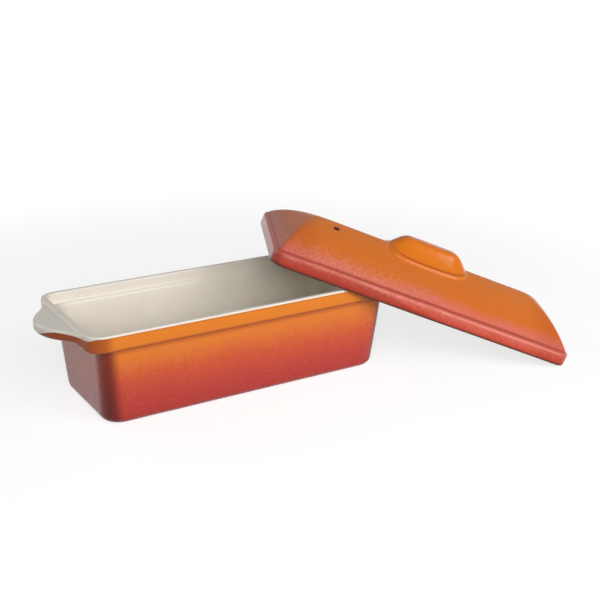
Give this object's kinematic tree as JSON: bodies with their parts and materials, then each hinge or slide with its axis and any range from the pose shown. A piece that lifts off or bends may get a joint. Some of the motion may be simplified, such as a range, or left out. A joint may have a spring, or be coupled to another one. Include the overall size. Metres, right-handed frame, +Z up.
{
  "type": "lidded terrine dish",
  "caption": "Long rectangular enamelled cast-iron baking dish with drafted sides, a rim band and bowed end ears, and a hipped lid with a lug handle leaning on its end.",
  "frame": {"origin": "middle of the dish's flat base, on the plane it stands on", "axes": "+X along the dish towards the end the lid leans over, +Y away from the viewer of the picture, +Z up"},
  "size_m": [0.5043, 0.2194, 0.1374],
  "materials": {
    "dish": "gloss vitreous enamel, orange shading to red outside and cream inside",
    "lid": "gloss vitreous enamel, orange shading to red outside and cream inside"
  },
  "bodies": {
    "root": {"dish": "dish", "lid": "lid"}
  },
  "joints": []
}
